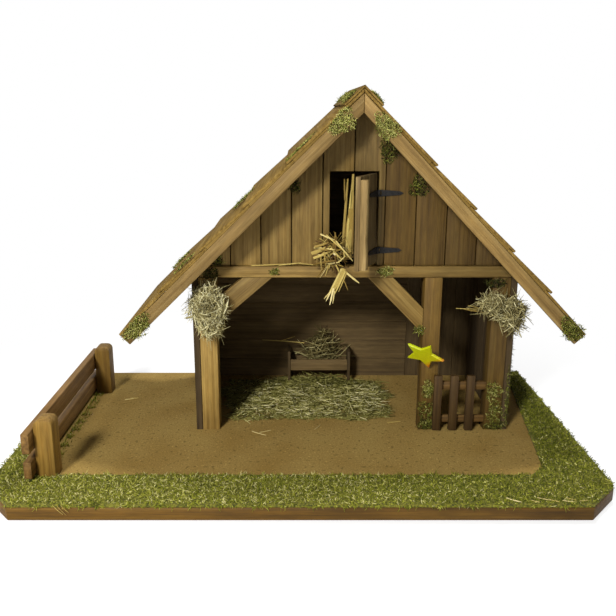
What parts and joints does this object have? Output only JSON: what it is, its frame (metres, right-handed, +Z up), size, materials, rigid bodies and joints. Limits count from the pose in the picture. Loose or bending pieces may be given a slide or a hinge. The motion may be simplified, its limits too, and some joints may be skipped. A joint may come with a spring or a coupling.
{
  "type": "nativity stable",
  "caption": "Open-fronted wooden nativity stable with a pitched board roof and a hinged loft hatch, on a landscaped base board with fence, manger, star and straw.",
  "frame": {"origin": "centre of the base board's underside, on the surface it stands on", "axes": "+X to the right along the base board's long side, +Y to the back, +Z up"},
  "size_m": [0.7, 0.41, 0.4496],
  "materials": {
    "painted_base": "dark stained board, reddish brown at the edge",
    "sand": "brown sand set in glue, with pale grains",
    "turf": "olive and yellow-green flock, matt",
    "timber": "warm mid-brown stain over visible grain, satin",
    "dark_timber": "dark brown stain, matt",
    "pale_timber": "light tan stain over visible grain, satin",
    "roof_boards": "mid-brown stain, matt",
    "black_iron": "blackened iron, slightly shiny",
    "star_paint": "bright yellow, slightly glossy",
    "straw": "pale straw yellow, matt",
    "hay": "khaki dried grass, matt"
  },
  "bodies": {
    "stable": {"base_board": "painted_base", "sand_ground": "sand", "turf": "turf", "left_post": "timber", "inner_post": "timber", "right_post": "timber", "front_beam": "timber", "left_brace": "timber", "right_brace": "timber", "loft_floor": "dark_timber", "left_wall": "dark_timber", "right_wall": "dark_timber", "back_wall": "dark_timber", "gable_board_1": "timber", "gable_board_2": "timber", "gable_board_3": "timber", "gable_board_4": "timber", "gable_board_5": "timber", "gable_board_6": "timber", "gable_board_7": "timber", "gable_board_8": "timber", "gable_board_9": "timber", "gable_board_10": "timber", "barge_board_left": "pale_timber", "barge_board_right": "pale_timber", "roof_left_course_1": "roof_boards", "roof_left_course_2": "roof_boards", "roof_left_course_3": "roof_boards", "roof_left_course_4": "roof_boards", "roof_left_course_5": "roof_boards", "roof_right_course_1": "roof_boards", "roof_right_course_2": "roof_boards", "roof_right_course_3": "roof_boards", "roof_right_course_4": "roof_boards", "roof_right_course_5": "roof_boards", "ridge_cap_left": "roof_boards", "ridge_cap_right": "roof_boards", "upper_hinge_wall_strap": "black_iron", "lower_hinge_wall_strap": "black_iron", "fence_post_front": "timber", "fence_post_rear": "timber", "fence_rail_top": "dark_timber", "fence_rail_lower": "dark_timber", "picket_1": "timber", "picket_2": "timber", "picket_3": "timber", "picket_rail_top": "dark_timber", "picket_rail_lower": "dark_timber", "manger_end_left": "timber", "manger_end_right": "timber", "manger_trough": "timber", "manger_hay": "hay", "star": "star_paint", "straw_bed": "straw", "hay_tuft_left": "hay", "hay_tuft_right": "hay", "hatch_straw": "straw"},
    "hatch_door": {"hatch_leaf": "timber", "upper_hinge_leaf_strap": "black_iron", "lower_hinge_leaf_strap": "black_iron"}
  },
  "joints": [
    {"name": "hatch_hinge", "type": "hinge", "parent": "stable", "child": "hatch_door", "pos_m": [0.09575, -0.008, 0.29], "axis": [0, 0, 1], "range_deg": [-18, 72]}
  ]
}
